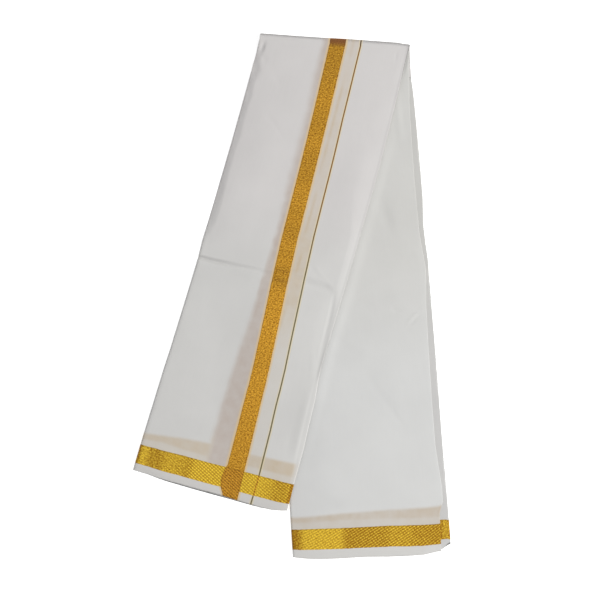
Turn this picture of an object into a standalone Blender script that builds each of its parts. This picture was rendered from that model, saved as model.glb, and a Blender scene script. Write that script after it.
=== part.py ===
"""Folded dhoti cloth: one length of fine white cotton, folded lengthways into a flat strip
and turned over once at the top, so that its two legs lie on a floor in a narrow V.

Run it with: blender --background --python part.py
Metres, +Z up. The origin is on the floor, under the middle of the whole part.

Every piece is placed in strip space, and place() carries it to the folded shape:
    across  millimetres from the strip's left edge
    along   millimetres from the crest of the turn: minus on the rear leg, plus on the front leg
    depth   millimetres in from the strip's outer face, which is the floor side of the rear leg
            and the top side of the front leg
"""

import math
from collections import namedtuple

import bmesh
import bpy
from mathutils import Vector

MM = 0.001

# Driving dimensions, in millimetres.
STRIP_WIDTH = 200.0       # across the folded strip; its edge tables vary this a little
REAR_LENGTH = 670.0       # from the crest of the turn to the rear leg's end
FRONT_LENGTH = 609.0      # from the crest of the turn to the front leg's end
CLOTH_WALL = 1.0          # wall of each stretch of cloth that shows
GAP = 0.3                 # air between neighbouring pieces
LEG_CORE = 1.8            # height of the hidden layers inside a leg, where it lies flat
FRONT_TOP = 4.0           # height of the front leg where it lies on the floor
SIDE_WALL = 1.2           # wall of the inner fold that stands out beside the rear leg
TURN_REACH = 7.0          # how far the turn rolls out beyond the flat legs
TURN_HALF = 9.0           # cloth length from the crest of the turn to a flat leg
END_BOW = 5.0             # how far the middle of each leg's end stands out past its corners
BOW_START = 0.85          # share of a leg's length where that bow begins
BOW_POWER = 4             # a higher power makes the bow flatter along its middle
END_RUN = 0.05            # share of a leg's length that gives its direction at the end
REAR_CORNER_CUT = 5.0     # how far the rear leg's right corner is drawn back
CORNER_START = 0.93       # share of the strip's width where a drawn-back corner begins

# Heights worked out from the layers, floor up.
CORE_BOTTOM = CLOTH_WALL + GAP
CORE_TOP = CORE_BOTTOM + LEG_CORE
PLAIN_TOP = CORE_TOP + GAP + CLOTH_WALL
FRONT_BED = PLAIN_TOP + GAP
STACK_TOP = FRONT_BED + LEG_CORE + GAP + CLOTH_WALL

# The long edges of each leg on the floor plan, x and y: a row for each section, from the
# crest of the turn (share 0) to the leg's end (share 1).
Section = namedtuple("Section", "share left_x left_y right_x right_y")
REAR_SECTIONS = (
    Section(0.00, -40.1, 341.4, 153.6, 327.2),
    Section(0.25, -29.9, 171.0, 166.1, 164.5),
    Section(0.50, -19.6, 0.8, 180.5, 1.9),
    Section(0.75, -9.6, -169.2, 192.7, -161.6),
    Section(1.00, 1.4, -339.4, 207.4, -328.6),
)
FRONT_SECTIONS = (
    Section(0.00, -40.1, 341.4, 153.6, 327.2),
    Section(0.25, -80.0, 199.4, 116.0, 175.4),
    Section(0.50, -120.7, 57.7, 73.5, 24.4),
    Section(0.75, -163.9, -83.8, 29.3, -127.1),
    Section(1.00, -207.5, -225.6, -6.0, -279.6),
)
Leg = namedtuple("Leg", "sections length corner_cut")
REAR = Leg(REAR_SECTIONS, REAR_LENGTH, REAR_CORNER_CUT)
FRONT = Leg(FRONT_SECTIONS, FRONT_LENGTH, 0.0)

# How far the inner fold stands out beside the rear leg's face.
Reveal = namedtuple("Reveal", "share width")
SIDE_REVEALS = (
    Reveal(0.00, 1.0),
    Reveal(0.12, 5.5),
    Reveal(0.27, 8.0),
    Reveal(0.42, 2.5),
    Reveal(0.60, 4.5),
    Reveal(0.80, 5.0),
    Reveal(0.88, 4.0),
    Reveal(1.00, 12.5),
)

# Pressed folds and wrinkles of the front leg's face. A crease crosses the leg at a share of its
# length; a wrinkle runs along it, at a distance from the left edge. Heights are down if minus.
Crease = namedtuple("Crease", "share half_width height")
CREASES = (
    Crease(0.494, 6.0, -0.6),
    Crease(0.517, 6.0, -0.6),
)
Wrinkle = namedtuple("Wrinkle", "across half_width start stop height")
WRINKLES = (
    Wrinkle(184.0, 8.0, 0.34, 0.60, 0.9),
    Wrinkle(190.0, 6.0, 0.52, 0.74, -0.5),
)

# The drape of the front leg off the rear leg's left edge, as distances past that edge.
DRAPE_WIDTH = 55.0        # the face comes down to the floor height over this distance
BED_START = 6.0           # the underside stays level up to here
BED_WIDTH = 40.0          # and then comes down over this distance

# Rolled edges.
ROLL_REACH = 3.0          # width of the roll at the folded left edge
ROLL_SHARE = 0.93         # how much of the leg's height that roll comes down
DROOP_REACH = 3.0         # width of the soft droop at the open right edge
BAND_DROOP = 0.6
PLAIN_DROOP = 0.5
ROLL_RAMP = 25.0          # the rolls grow over this distance after the turn

# Hidden layers: their edges are set back from the faces, and grooved into separate folds.
CORE_LEFT_SET = 2.3
CORE_RIGHT_SET = 1.5
SIDE_DEPTH = 22.0         # how far the standing-out fold reaches in under the rear face
SIDE_START = 46.0         # how far from the crest it begins
SIDE_RAMP = 36.0          # the hidden layers have given way to it after this distance
BAND_END_SET = 1.5        # the front face stops short of the layers under it
BACK_END_SET = 2.0        # the floor side stops short of the rear face's end
CORE_END_SET = 1.2
BACK_RIGHT_SET = 1.0
FOLD_COUNT = 3            # grooved folds in the hidden layers' edge
FOLD_LEVELS = 3           # mesh levels for each of those folds; the groove is at its first
FOLD_GROOVE = 0.8         # depth of the grooves between them
SIDE_ROUND = 0.5          # rounding of the standing-out fold's edge

# Mesh spacing.
ROLL_STEPS = 4
DROOP_STEPS = 2
TURN_STEPS = 8
REAR_STEPS = 8
FRONT_STEPS = 17
BOW_ROW = 30.0            # an extra row this far from the rear leg's end, for its bow
ROW_CLEARANCE = 8.0       # an even row nearer than this to a crease's own rows is left out
SIDE_LEVELS = 3
FLAT_COLUMNS = (18.0, 35.0, 52.0, 69.0, 86.0, 103.0, 120.0, 137.0, 154.0, 168.0, 178.0, 184.0, 190.0)

COTTON_WHITE = (0.72, 0.71, 0.69)
COTTON_SHADE = (0.66, 0.65, 0.62)
COTTON_ROUGHNESS = 0.85
SHARP_ANGLE = 40.0        # degrees; a sharper edge than this isn't shaded smooth


def smooth(value):
    """Ease from 0 to 1 while value goes from 0 to 1."""
    value = min(max(value, 0.0), 1.0)
    return value * value * (3.0 - 2.0 * value)


def leg_section(leg, share):
    """Both long edges at a share of the leg's length, on a smooth curve through its rows."""
    spots = [Vector((row.left_x, row.left_y, row.right_x, row.right_y)) for row in leg.sections]
    spots.insert(0, 2.0 * spots[0] - spots[1])
    spots.append(2.0 * spots[-1] - spots[-2])
    inner_rows = leg.sections[1:-1]
    index = sum(1 for row in inner_rows if share >= row.share)
    start, stop = leg.sections[index].share, leg.sections[index + 1].share
    t = (share - start) / (stop - start)
    a, b, c, d = spots[index:index + 4]
    edges = b + 0.5 * t * ((c - a) + t * ((2.0 * a - 5.0 * b + 4.0 * c - d) + t * (3.0 * (b - c) + d - a)))
    return Vector(edges[0:2]), Vector(edges[2:4])


def leg_point(leg, across, below):
    """Floor-plan point of a leg, across its width and below the crest of the turn."""
    share = below / leg.length
    left, right = leg_section(leg, share)
    end_left, end_right = leg_section(leg, 1.0)
    near_left, near_right = leg_section(leg, 1.0 - END_RUN)
    run = (end_left + end_right - near_left - near_right).normalized()
    part = across / STRIP_WIDTH
    bow = END_BOW * (1.0 - abs(2.0 * part - 1.0) ** BOW_POWER)
    bow -= leg.corner_cut * smooth((part - CORNER_START) / (1.0 - CORNER_START))
    return left.lerp(right, part) + run * bow * smooth((share - BOW_START) / (1.0 - BOW_START))


def past_rear_edge(spot):
    """Distance of a floor-plan point past the rear leg's left edge, plus on its outer side."""
    top = Vector((REAR_SECTIONS[0].left_x, REAR_SECTIONS[0].left_y))
    bottom = Vector((REAR_SECTIONS[-1].left_x, REAR_SECTIONS[-1].left_y))
    run = (bottom - top).normalized()
    return (spot - top).dot(Vector((run.y, -run.x)))


def front_relief(across, share):
    """Height that the creases and wrinkles add to the front leg's face."""
    height = 0.0
    for crease in CREASES:
        height += crease.height * smooth(1.0 - abs(share - crease.share) * FRONT_LENGTH / crease.half_width)
    for wrinkle in WRINKLES:
        middle = (wrinkle.start + wrinkle.stop) / 2.0
        half_run = (wrinkle.stop - wrinkle.start) / 2.0
        fade = smooth(2.0 * (1.0 - abs(share - middle) / half_run))
        height += wrinkle.height * fade * smooth(1.0 - abs(across - wrinkle.across) / wrinkle.half_width)
    return height


def front_top(spot, across, share):
    """Height of the front leg's face: on the rear leg, down its side, then on the floor."""
    drape = smooth(past_rear_edge(spot) / DRAPE_WIDTH)
    return STACK_TOP - (STACK_TOP - FRONT_TOP) * drape + front_relief(across, share)


def front_bed(spot):
    """Height of the front leg's underside."""
    return FRONT_BED * (1.0 - smooth((past_rear_edge(spot) - BED_START) / BED_WIDTH))


def below_crest(along):
    """Floor-plan distance from the crest, for a place on a flat leg."""
    return TURN_REACH + abs(along) - TURN_HALF


def leg_end(length):
    """The along value of a leg's end."""
    return length - TURN_REACH + TURN_HALF


def core_thickness(across, along):
    """Depth of the hidden layers' inner side."""
    if along <= TURN_HALF:
        return CORE_TOP
    below = below_crest(along)
    spot = leg_point(FRONT, across, below)
    return front_top(spot, across, below / FRONT_LENGTH) - front_bed(spot)


def place(across, along, depth):
    """Carry a point from strip space to the folded shape, in millimetres."""
    if along < -TURN_HALF:
        spot = leg_point(REAR, across, below_crest(along))
        return Vector((spot.x, spot.y, depth))
    if along > TURN_HALF:
        below = below_crest(along)
        spot = leg_point(FRONT, across, below)
        return Vector((spot.x, spot.y, front_top(spot, across, below / FRONT_LENGTH) - depth))
    angle = along / TURN_HALF * math.pi / 2.0
    rear = leg_point(REAR, across, TURN_REACH)
    front = leg_point(FRONT, across, TURN_REACH)
    left, right = leg_section(REAR, 0.0)
    crest = (right - left).normalized()
    outward = Vector((-crest.y, crest.x))
    spot = rear.lerp(front, (1.0 + math.sin(angle)) / 2.0)
    spot += outward * (TURN_REACH - depth) * math.cos(angle)
    height = STACK_TOP / 2.0 + (STACK_TOP / 2.0 - depth) * math.sin(angle)
    return Vector((spot.x, spot.y, height))


def side_reveal(share):
    """How far the inner fold stands out at a share of the rear leg's length."""
    for first, last in zip(SIDE_REVEALS, SIDE_REVEALS[1:]):
        if share <= last.share:
            part = (share - first.share) / (last.share - first.share)
            return first.width + (last.width - first.width) * smooth(part)
    return SIDE_REVEALS[-1].width


Column = namedtuple("Column", "across left_roll right_roll")


def sheet_columns():
    """Columns of a face: the rolled left edge, the flat middle and the drooping right edge."""
    columns = []
    for step in range(ROLL_STEPS + 1):
        angle = step / ROLL_STEPS * math.pi / 2.0
        columns.append(Column(ROLL_REACH * (1.0 - math.cos(angle)), 1.0 - math.sin(angle), 0.0))
    for across in FLAT_COLUMNS:
        columns.append(Column(across, 0.0, 0.0))
    for step in range(DROOP_STEPS + 1):
        part = step / DROOP_STEPS
        columns.append(Column(STRIP_WIDTH - DROOP_REACH * (1.0 - part), 0.0, part * part))
    return columns


def rear_rows(end_set):
    """Rows of the rear leg, from its end to the start of the turn."""
    end = leg_end(REAR_LENGTH) - end_set
    even = [end - (end - TURN_HALF) * step / REAR_STEPS for step in range(REAR_STEPS)]
    even.insert(1, end - BOW_ROW)
    return [-along for along in even] + [-SIDE_START, -TURN_HALF]


def turn_rows():
    """Rows round the turn, without its first."""
    return [TURN_HALF * (2.0 * step / TURN_STEPS - 1.0) for step in range(1, TURN_STEPS + 1)]


def front_rows(end_set):
    """Rows of the front leg after the turn, with extra ones for the creases."""
    end = leg_end(FRONT_LENGTH) - end_set
    even = [TURN_HALF + (end - TURN_HALF) * step / FRONT_STEPS for step in range(1, FRONT_STEPS + 1)]
    fine = set()
    for crease in CREASES:
        middle = leg_end(FRONT_LENGTH * crease.share)
        fine.update((middle - crease.half_width, middle, middle + crease.half_width))
    clear = [row for row in even if min(abs(row - other) for other in fine) > ROW_CLEARANCE]
    return sorted(clear + list(fine) + [TURN_HALF + ROLL_RAMP / 2.0])


def new_object(name, mesh, color):
    """Turn a bmesh into a named object with its own matt cotton material."""
    data = bpy.data.meshes.new(name)
    mesh.to_mesh(data)
    mesh.free()
    data.shade_smooth()
    data.set_sharp_from_angle(angle=math.radians(SHARP_ANGLE))
    material = bpy.data.materials.new(name + "_cotton")
    material.use_nodes = True
    shader = material.node_tree.nodes["Principled BSDF"]
    shader.inputs["Base Color"].default_value = (*color, 1.0)
    shader.inputs["Roughness"].default_value = COTTON_ROUGHNESS
    shader.inputs["Metallic"].default_value = 0.0
    data.materials.append(material)
    piece = bpy.data.objects.new(name, data)
    collection.objects.link(piece)
    return piece


def sheet(name, columns, rows, surface, color, faces_up):
    """A stretch of cloth: an open grid laid on its outer surface, then given its wall.
    faces_up says whether the grid's outer side is the one that its faces already point to."""
    mesh = bmesh.new()
    bmesh.ops.create_grid(mesh, x_segments=len(columns) - 1, y_segments=len(rows) - 1, size=0.5)
    for vert in mesh.verts:
        column = columns[round((vert.co.x + 0.5) * (len(columns) - 1))]
        row = rows[round((vert.co.y + 0.5) * (len(rows) - 1))]
        vert.co = surface(column, row) * MM
    if not faces_up:
        bmesh.ops.reverse_faces(mesh, faces=mesh.faces)
    piece = new_object(name, mesh, color)
    solidify = piece.modifiers.new("cloth wall", "SOLIDIFY")
    solidify.thickness = CLOTH_WALL * MM
    solidify.offset = -1.0
    solidify.use_even_offset = True
    return piece


def slab(name, columns, rows, level_count, surface, color):
    """A closed block of layers: a box cut into columns, rows and levels, then shaped.
    side and end are -1 or 1 on the block's outer faces, and 0 inside it."""
    mesh = bmesh.new()
    bmesh.ops.create_grid(mesh, x_segments=len(columns) - 1, y_segments=len(rows) - 1, size=0.5)
    raised = bmesh.ops.extrude_face_region(mesh, geom=mesh.faces[:])["geom"]
    bmesh.ops.translate(mesh, verts=[g for g in raised if isinstance(g, bmesh.types.BMVert)], vec=(0, 0, 1))
    upright = [edge for edge in mesh.edges if abs(edge.verts[0].co.z - edge.verts[1].co.z) > 0.5]
    bmesh.ops.subdivide_edges(mesh, edges=upright, cuts=level_count - 1)
    for vert in mesh.verts:
        column = round((vert.co.x + 0.5) * (len(columns) - 1))
        row = round((vert.co.y + 0.5) * (len(rows) - 1))
        side = (column == len(columns) - 1) - (column == 0)
        end = (row == len(rows) - 1) - (row == 0)
        vert.co = surface(columns[column], rows[row], vert.co.z, side, end) * MM
    bmesh.ops.recalc_face_normals(mesh, faces=mesh.faces)
    return new_object(name, mesh, color)


def band_surface(column, along):
    """Outer face of the strip, which carries the end band: under the rear leg, round the turn
    and down the front leg, where its left edge rolls under to the floor."""
    if along <= TURN_HALF:
        inward = BACK_RIGHT_SET * smooth(-along / SIDE_RAMP)
        across = column.across * (STRIP_WIDTH - inward) / STRIP_WIDTH
        return place(across, along, 0.0)
    spot = place(column.across, along, 0.0)
    grown = smooth((along - TURN_HALF) / ROLL_RAMP)
    roll = ROLL_SHARE * (spot.z - front_bed(spot.xy))
    spot.z -= grown * (column.left_roll * roll + column.right_roll * BAND_DROOP)
    return spot


def plain_surface(column, along):
    """Top face of the rear leg, rolled under at its left and short of the fold at its right."""
    share = below_crest(along) / REAR_LENGTH
    across = column.across * (STRIP_WIDTH - side_reveal(share)) / STRIP_WIDTH
    spot = place(across, along, PLAIN_TOP)
    grown = smooth((-along - TURN_HALF) / ROLL_RAMP)
    roll = PLAIN_TOP - CORE_BOTTOM
    spot.z -= grown * (column.left_roll * roll + column.right_roll * PLAIN_DROOP)
    return spot


def core_surface(across, along, level, side, end):
    """Hidden layers: grooved into folds all round their edge."""
    groove = FOLD_GROOVE if round(level * FOLD_COUNT * FOLD_LEVELS) % FOLD_LEVELS == 0 else 0.0
    give_way = (SIDE_DEPTH + GAP - CORE_RIGHT_SET) * smooth((-along - TURN_HALF) / SIDE_RAMP)
    full = STRIP_WIDTH - CORE_RIGHT_SET - CORE_LEFT_SET
    across = CORE_LEFT_SET + (across - CORE_LEFT_SET) * (full - give_way) / full
    across -= side * groove
    along -= end * groove
    depth = CORE_BOTTOM + level * (core_thickness(across, along) - CORE_BOTTOM)
    return place(across, along, depth)


def side_surface(part, along, level, side, end):
    """Inner fold that stands out beside the rear leg's face."""
    rounding = SIDE_ROUND if level in (0.0, 1.0) else 0.0
    across = STRIP_WIDTH - SIDE_DEPTH * (1.0 - part) - side * rounding
    return place(across, along - end * rounding, CORE_BOTTOM + level * SIDE_WALL)


def clear_scene():
    """Remove whatever the open file holds."""
    for thing in list(bpy.data.objects):
        bpy.data.objects.remove(thing, do_unlink=True)


clear_scene()
collection = bpy.data.collections.new("dhoti_cloth")
bpy.context.scene.collection.children.link(collection)

sheet("band_stretch", sheet_columns(), rear_rows(BACK_END_SET) + turn_rows() + front_rows(BAND_END_SET),
      band_surface, COTTON_WHITE, faces_up=False)
sheet("plain_stretch", sheet_columns(), rear_rows(0.0), plain_surface, COTTON_WHITE, faces_up=True)
slab("inner_layers", (CORE_LEFT_SET,) + FLAT_COLUMNS + (STRIP_WIDTH - CORE_RIGHT_SET,),
     rear_rows(CORE_END_SET) + turn_rows() + front_rows(0.0), FOLD_COUNT * FOLD_LEVELS, core_surface,
     COTTON_SHADE)
slab("side_stretch", (0.0, 0.5, 1.0), rear_rows(0.0)[:-1], SIDE_LEVELS, side_surface, COTTON_SHADE)
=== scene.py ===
# A folded dhoti: one length of fine white cotton with woven gold borders, laid flat on a pale
# floor. It is folded lengthways into a strip, and turned over once so its legs lie in a narrow V.
import math

import bmesh
import bpy
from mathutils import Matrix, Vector, noise


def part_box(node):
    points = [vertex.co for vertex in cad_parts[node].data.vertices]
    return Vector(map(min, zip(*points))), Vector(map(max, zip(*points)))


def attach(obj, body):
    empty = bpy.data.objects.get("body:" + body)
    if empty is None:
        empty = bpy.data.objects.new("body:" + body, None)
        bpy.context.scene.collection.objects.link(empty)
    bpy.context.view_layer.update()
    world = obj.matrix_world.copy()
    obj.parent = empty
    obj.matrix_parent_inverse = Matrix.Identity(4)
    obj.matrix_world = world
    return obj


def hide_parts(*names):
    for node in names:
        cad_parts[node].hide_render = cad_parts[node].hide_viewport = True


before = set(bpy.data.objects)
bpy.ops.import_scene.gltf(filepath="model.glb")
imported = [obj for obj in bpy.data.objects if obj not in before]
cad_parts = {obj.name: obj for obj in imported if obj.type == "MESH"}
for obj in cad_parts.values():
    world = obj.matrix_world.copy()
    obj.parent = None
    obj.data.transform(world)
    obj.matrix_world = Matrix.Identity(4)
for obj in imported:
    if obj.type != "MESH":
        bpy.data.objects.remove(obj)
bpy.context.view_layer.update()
scene = bpy.context.scene
mm = 0.001  # every size below is in millimetres
print("frame loaded:", len(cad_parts), "nodes")


# the folded strip: where a place on it lies in the room
# across: from the strip's left edge; along: from the crest of the turn, minus on the rear leg
# depth: in from the outer face, which is the rear leg's floor side and the front leg's top

strip = {
    "width": 200,
    "wall": 0.4,             # one layer of cloth, a little stouter than the real one
    "air": 0.12,             # between a face and the layers under it
    "turnReach": 7,          # how far the turn rolls out past the flat legs
    "turnHalf": 9,           # cloth length from the crest to a flat leg
    # and how much further across the strip, as it isn't straight
    "turnOut": [(0, 0.3), (40, 0.3), (80, 0.5), (120, 1.2), (184, 1.2), (193, 0.2), (200, 0)],
    "frontFloorTop": 4.0,    # the front leg's height where it lies on the floor
    "bedGap": 0.3,           # between the rear leg's face and the front leg on it
    "stackTop": 7.8,         # the front leg's face where it lies on the rear leg
    "drapeWidth": 90,        # over this distance the front leg's face comes down to the floor
    "bedStart": 6,
    "bedWidth": 40,          # and over this one its underside does
    "endBow": 5,             # the legs' ends are bowed, from this share of the length
    "bowStart": 0.85,
    "bowPower": 4,           # flat along the middle
    "cornerStart": 0.93,
    "endStart": 0.975,       # and uneven from this one
    "endDroop": 1.1,         # they sink this much, from so far before the end, over so much
    "droopBefore": 9,
    "droopRamp": 11,
}
fullWidth, stackTop = strip["width"], strip["stackTop"]
turnReach, turnHalf = strip["turnReach"], strip["turnHalf"]
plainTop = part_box("plain_stretch")[1].z / mm
skin = strip["wall"] + strip["air"]

# edges: share of the leg's length, then its left and right edge on the floor, x and y
rearLeg = {
    "length": 670,
    "cornerCut": 5,
    "endOut": [(0, 1.2), (20, 1.5), (68, 1), (90, 0.6), (120, 2), (150, 2.6), (166, 2.8), (182, 1),
        (200, 2.4)],
    "edges": [
        (0.00, (-40.1, 341.4), (153.6, 327.2)),
        (0.25, (-29.9, 171), (166.1, 164.5)),
        (0.50, (-19.6, 0.8), (180.5, 1.9)),
        (0.75, (-9.6, -169.2), (192.7, -161.6)),
        (1.00, (1.4, -339.4), (207.4, -328.6)),
    ],
}
frontLeg = {
    "length": 609,
    "cornerCut": 0,
    "endOut": [(0, 1), (20, -0.8), (40, 0), (84, 0.5), (116, 0.6), (148, 1.3), (166, 2), (182, 2.4),
        (198, 0.6)],
    "edges": [
        (0.00, (-40.1, 341.4), (153.6, 327.2)),
        (0.25, (-80, 199.4), (116, 175.4)),
        (0.50, (-120.7, 57.7), (73.5, 24.4)),
        (0.75, (-163.9, -83.8), (29.3, -127.1)),
        (1.00, (-207.5, -225.6), (-6, -279.6)),
    ],
}


def smooth(value):
    value = min(max(value, 0.0), 1.0)
    return value * value * (3 - 2 * value)


def readTable(rows, at):
    # rows of (place, value), read with straight lines between them
    if at <= rows[0][0]:
        return rows[0][1]
    for (start, first), (stop, last) in zip(rows, rows[1:]):
        if at <= stop:
            return first + (last - first) * (at - start) / (stop - start)
    return rows[-1][1]


def legEdges(leg, share):
    # both long edges at a share of the length, on a smooth curve through the rows
    rows = [Vector((*left, *right)) for _, left, right in leg["edges"]]
    rows = [2 * rows[0] - rows[1]] + rows + [2 * rows[-1] - rows[-2]]
    index = sum(1 for row in leg["edges"][1:-1] if share >= row[0])
    start, stop = leg["edges"][index][0], leg["edges"][index + 1][0]
    t = (share - start) / (stop - start)
    a, b, c, d = rows[index:index + 4]
    spot = b + 0.5 * t * ((c - a) + t * ((2 * a - 5 * b + 4 * c - d) + t * (3 * (b - c) + d - a)))
    return Vector(spot[0:2]), Vector(spot[2:4])


for leg in (rearLeg, frontLeg):
    endLeft, endRight = legEdges(leg, 1.0)
    nearLeft, nearRight = legEdges(leg, 0.95)
    leg["run"] = (endLeft + endRight - nearLeft - nearRight).normalized()


def legPoint(leg, across, below):
    share = below / leg["length"]
    left, right = legEdges(leg, share)
    part = across / fullWidth
    bow = strip["endBow"] * (1 - abs(2 * part - 1) ** strip["bowPower"])
    bow -= leg["cornerCut"] * smooth((part - strip["cornerStart"]) / (1 - strip["cornerStart"]))
    bow *= smooth((share - strip["bowStart"]) / (1 - strip["bowStart"]))
    bow += readTable(leg["endOut"], across) * smooth((share - strip["endStart"]) / (1 - strip["endStart"]))
    return left.lerp(right, part) + leg["run"] * bow


rearEnd, frontEnd = [leg["length"] - turnReach + turnHalf for leg in (rearLeg, frontLeg)]


def belowCrest(along):
    return turnReach + abs(along) - turnHalf


def pastRearEdge(spot):
    top, bottom = Vector(rearLeg["edges"][0][1]), Vector(rearLeg["edges"][-1][1])
    run = (bottom - top).normalized()
    return (spot - top).dot(Vector((run.y, -run.x)))


# folds and wrinkles
# each one is its half width, then (across, below, height) along it, minus for a trough
frontMarks = [
    # the fold pressed across the middle, deep at the left and faint past the gold band
    (4.6, [(-2, 311.6, -2.6), (12, 313.2, -2.5), (22, 314, -2.2), (47, 314.8, -1.6), (62, 315.4, -1.1),
        (86, 316.2, -1), (100, 317, -0.3)]),
    (8, [(4, 319, 0.35), (48, 321, 0.3), (85, 323, 0.15)]),
    (1.8, [(98, 312.5, -0.3), (108, 311, -0.6), (125, 308, -0.5), (130, 308, 0)]),
    (1.8, [(98, 326.5, -0.3), (108, 325, -0.6), (124, 322, -0.5), (130, 321.5, 0)]),
    (8, [(126, 316, -0.3), (152, 320, -0.8), (176, 323, -0.6), (190, 328, 0)]),
    # fine creases that run out of it
    (4, [(146, 292, 0), (156, 301, 0.16), (168, 310, 0.16), (188, 325, 0.1)]),
    (4, [(134, 277, 0), (150, 299, -0.2), (167, 320, 0)]),
    (3.5, [(33, 104, 0), (46, 117, -0.25), (60, 131, -0.25), (74, 144, 0)]),
    (6, [(20, 36, 0), (40, 62, -0.2), (52, 84, 0)]),
    # dents along the left edge
    (5, [(7, 6, 0), (7.5, 12, -2.2), (7, 22, -0.9), (6, 31, 0)]),
    (7, [(6, 26, 0), (13, 34, -0.5), (16, 44, 0)]),
    (9, [(3, 38, 0), (7, 50, -1.2), (7, 66, 0)]),
    (6, [(3, 76, 0), (7, 85, -0.6), (6, 96, 0)]),
    (6, [(4, 122, 0), (7, 140, -0.4), (5, 158, 0)]),
    (6, [(3, 205, 0), (4, 222, -0.5), (3, 238, 0)]),
    # the soft valley beside the right edge, and the low ridge that closes it
    (20, [(196, 322, 0), (194, 345, -0.8), (194, 385, -0.8), (198, 428, -0.3), (200, 450, 0)]),
    (4.5, [(188, 320, 0), (190, 340, -0.35), (192, 360, -0.45), (193, 382, -0.45), (195, 415, -0.3),
        (197, 442, 0)]),
    (6, [(180, 396, 0), (187, 420, 0.25), (192, 446, 0)]),
    # a small pucker by the turn
    (3, [(184, 2, 0), (185.5, 12, -0.5), (186, 24, 0)]),
]
rearMarks = [
    # a hooked wrinkle near the right edge, and dents beside it
    (1.9, [(164, 375, 0), (171, 368, 0.3), (179, 361, 0.45), (189, 355.5, 0.2)]),
    (2.4, [(167, 379, 0), (176, 370, -0.4), (186, 362, 0)]),
    (7, [(140, 334, 0), (149, 337, -0.3), (160, 336, 0)]),
    (5, [(146, 352, 0), (153, 356, -0.3), (163, 358, 0)]),
    # soft drag lines
    (6, [(66, 391, 0), (87, 403, -0.35), (106, 417, 0)]),
    (6, [(108, 438, 0), (120, 458, -0.3), (140, 488, -0.35), (157, 518, 0)]),
    (12, [(140, 204, 0), (150, 230, -0.5), (160, 266, 0)]),
    (7, [(178, 60, 0), (177, 96, 0.35), (180, 140, 0)]),
    (9, [(30, 590, 0), (52, 604, -0.3), (74, 606, 0)]),
    # it mounds up a little beside the leg that lies on it
    (11, [(170, 106, 0), (152, 160, 0.7), (131, 221, 0.8), (98, 316, 0.9), (63, 412, 0.9), (35, 500, 0.7),
        (13, 572, 0)]),
]
floorMarks = [
    (3.5, [(0, 312, 0.5), (60, 314, 0.45), (140, 313, 0.4), (200, 316, 0.5)]),
    (4, [(30, 470, 0), (80, 500, 0.4), (120, 560, 0)]),
    (5, [(120, 90, 0), (150, 150, 0.35), (160, 220, 0)]),
]

# how the faces lean down at their edges: places along the leg, how far in, and how deep
frontLeftLean = [(0, 9, 2.4), (20, 11, 2), (44, 11, 2.9), (90, 11, 2.7), (180, 10, 2.4), (240, 12, 3.2),
    (262, 11, 2.5), (275, 8, 1.4), (286, 4, 0.7), (310, 5, 0.8), (609, 5, 0.8)]
frontRightLean = [(0, 5, 0.3), (60, 14, 0.5), (130, 27, 1.4), (200, 25, 2.3), (250, 13, 1.9),
    (320, 12, 1.8), (345, 7, 0.5), (430, 5, 0.4), (465, 7, 0.7), (530, 7, 0.75), (560, 5, 0.5),
    (609, 5, 0.4)]
rearLeftLean = [(0, 6, 0.5), (400, 14, 0.7), (480, 50, 1.4), (540, 56, 1.8), (640, 50, 1.8), (670, 40, 1.6)]
rearRightLean = [(0, 7, 0.4), (200, 9, 0.35), (330, 14, 0.5), (470, 12, 0.4), (670, 9, 0.3)]


def markHeight(marks, across, below):
    height = 0.0
    for half, points in marks:
        if not min(p[1] for p in points) - half < below < max(p[1] for p in points) + half:
            continue
        nearest, found = half, 0.0
        for start, stop in zip(points, points[1:]):
            run = Vector(stop[:2]) - Vector(start[:2])
            gap = Vector((across - start[0], below - start[1]))
            t = min(max(gap.dot(run) / run.length_squared, 0.0), 1.0)
            off = (gap - run * t).length
            if off < nearest:
                nearest, found = off, start[2] + (stop[2] - start[2]) * t
        height += found * smooth(1 - nearest / half)
    return height


relief = {
    "leanPower": 1.5,
    "leanWaver": (0.3, 14, 9),  # share, size and seed
    # slow swells: height, size and seed
    "frontSwells": [(0.07, 40, 2), (0.04, 13, 5)],
    "rearSwells": [(0.22, 50, 8)],
    "rearSink": 0.2,
    "foldDrop": 0.7,         # the front face falls a little towards its folded left edge
    "foldWidth": 36,
    "rise": 14,              # all of it grows over this distance past the turn
}


def lean(rows, inward, below):
    # how far a face has come down, inward from its edge
    width = readTable([(at, wide) for at, wide, _ in rows], below)
    depth = readTable([(at, deep) for at, _, deep in rows], below)
    return depth * max(0.0, 1 - inward / width) ** relief["leanPower"]


def swell(across, along, size, seed):
    # slow unevenness of cloth that was pressed and handled, from -1 to 1
    return noise.noise(Vector((across / size, along / (size * 1.6), seed)))


def swells(rows, across, below):
    return sum(height * swell(across, below, size, seed) for height, size, seed in rows)


def pastTurn(height, below):
    return height * smooth((below - turnReach) / relief["rise"])


def droop(leg, below):
    # the last few millimetres of a leg sink on to the layers that end under them
    return strip["endDroop"] * smooth((below - leg["length"] + strip["droopBefore"]) / strip["droopRamp"])


def frontRelief(across, below):
    share, size, seed = relief["leanWaver"]
    height = markHeight(frontMarks, across, below) + swells(relief["frontSwells"], across, below)
    height -= lean(frontLeftLean, across, below) * (1 + share * swell(0, below, size, seed))
    height -= relief["foldDrop"] * max(0.0, 1 - across / relief["foldWidth"]) ** 2
    height -= lean(frontRightLean, fullWidth - across, below)
    return pastTurn(height, below) - droop(frontLeg, below)


def rearRelief(across, below):
    # mostly down, so that it stays clear of the leg that lies on it
    height = markHeight(rearMarks, across, below) + swells(relief["rearSwells"], across, below)
    height -= relief["rearSink"] + lean(rearLeftLean, across, below)
    height -= lean(rearRightLean, fullWidth - across, below)
    return pastTurn(height, below) - droop(rearLeg, below)


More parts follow.
